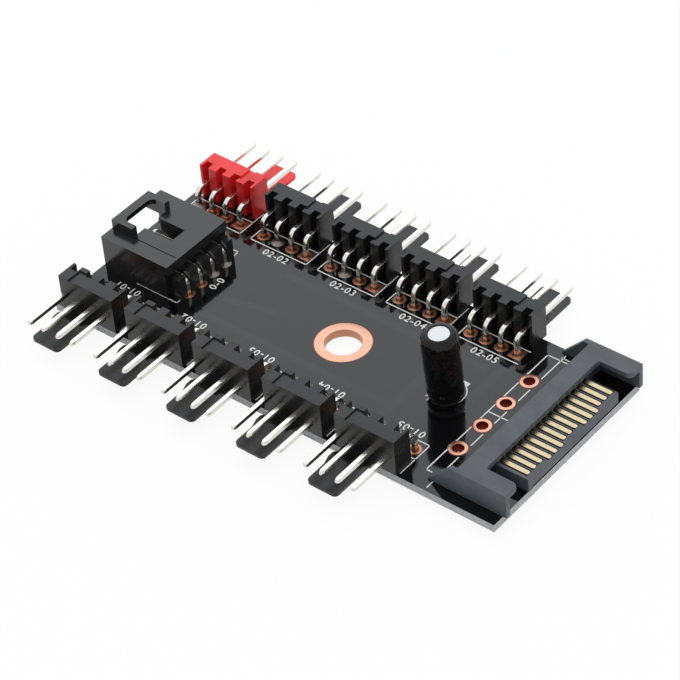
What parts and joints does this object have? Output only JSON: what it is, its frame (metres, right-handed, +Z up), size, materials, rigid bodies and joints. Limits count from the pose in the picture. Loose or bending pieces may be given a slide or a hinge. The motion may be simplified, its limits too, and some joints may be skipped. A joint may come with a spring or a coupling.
{
  "type": "fan controller hub",
  "caption": "Bare fan hub circuit board with rows of right-angle pin headers, a shrouded control input, a flat power plug and an upright capacitor.",
  "frame": {"origin": "on the mounting hole's axis, at the board's underside", "axes": "+X along the board to the power plug, +Y to the rear row of fan ports, +Z up from the board"},
  "size_m": [0.0747, 0.0473, 0.0134],
  "materials": {
    "solder_mask": "gloss black solder mask on laminate",
    "black_nylon": "moulded, satin",
    "red_nylon": "moulded, satin",
    "plug_nylon": "moulded, satin",
    "tinned_pin": "bright tin plate",
    "gilt_contact": "thin gold plate",
    "solder": "bright solder",
    "can_aluminium": "drawn, bright",
    "shrink_sleeve": "glossy shrink film",
    "bung_rubber": "moulded, matt",
    "tinned_lead": "bright tin plate"
  },
  "bodies": {
    "root": {"circuit_board": "solder_mask", "front_port_1_housing": "black_nylon", "front_port_1_pins": "tinned_pin", "front_port_2_housing": "black_nylon", "front_port_2_pins": "tinned_pin", "front_port_3_housing": "black_nylon", "front_port_3_pins": "tinned_pin", "front_port_4_housing": "black_nylon", "front_port_4_pins": "tinned_pin", "front_port_5_housing": "black_nylon", "front_port_5_pins": "tinned_pin", "front_row_solder": "solder", "rear_port_1_housing": "red_nylon", "rear_port_1_pins": "tinned_pin", "rear_port_2_housing": "black_nylon", "rear_port_2_pins": "tinned_pin", "rear_port_3_housing": "black_nylon", "rear_port_3_pins": "tinned_pin", "rear_port_4_housing": "black_nylon", "rear_port_4_pins": "tinned_pin", "rear_port_5_housing": "black_nylon", "rear_port_5_pins": "tinned_pin", "rear_row_solder": "solder", "control_input_shroud": "black_nylon", "control_input_pins": "tinned_pin", "control_input_solder": "solder", "power_plug_housing": "plug_nylon", "power_plug_contacts": "gilt_contact", "capacitor_can": "can_aluminium", "capacitor_sleeve": "shrink_sleeve", "capacitor_bung": "bung_rubber", "capacitor_leads": "tinned_lead", "capacitor_solder": "solder"}
  },
  "joints": []
}
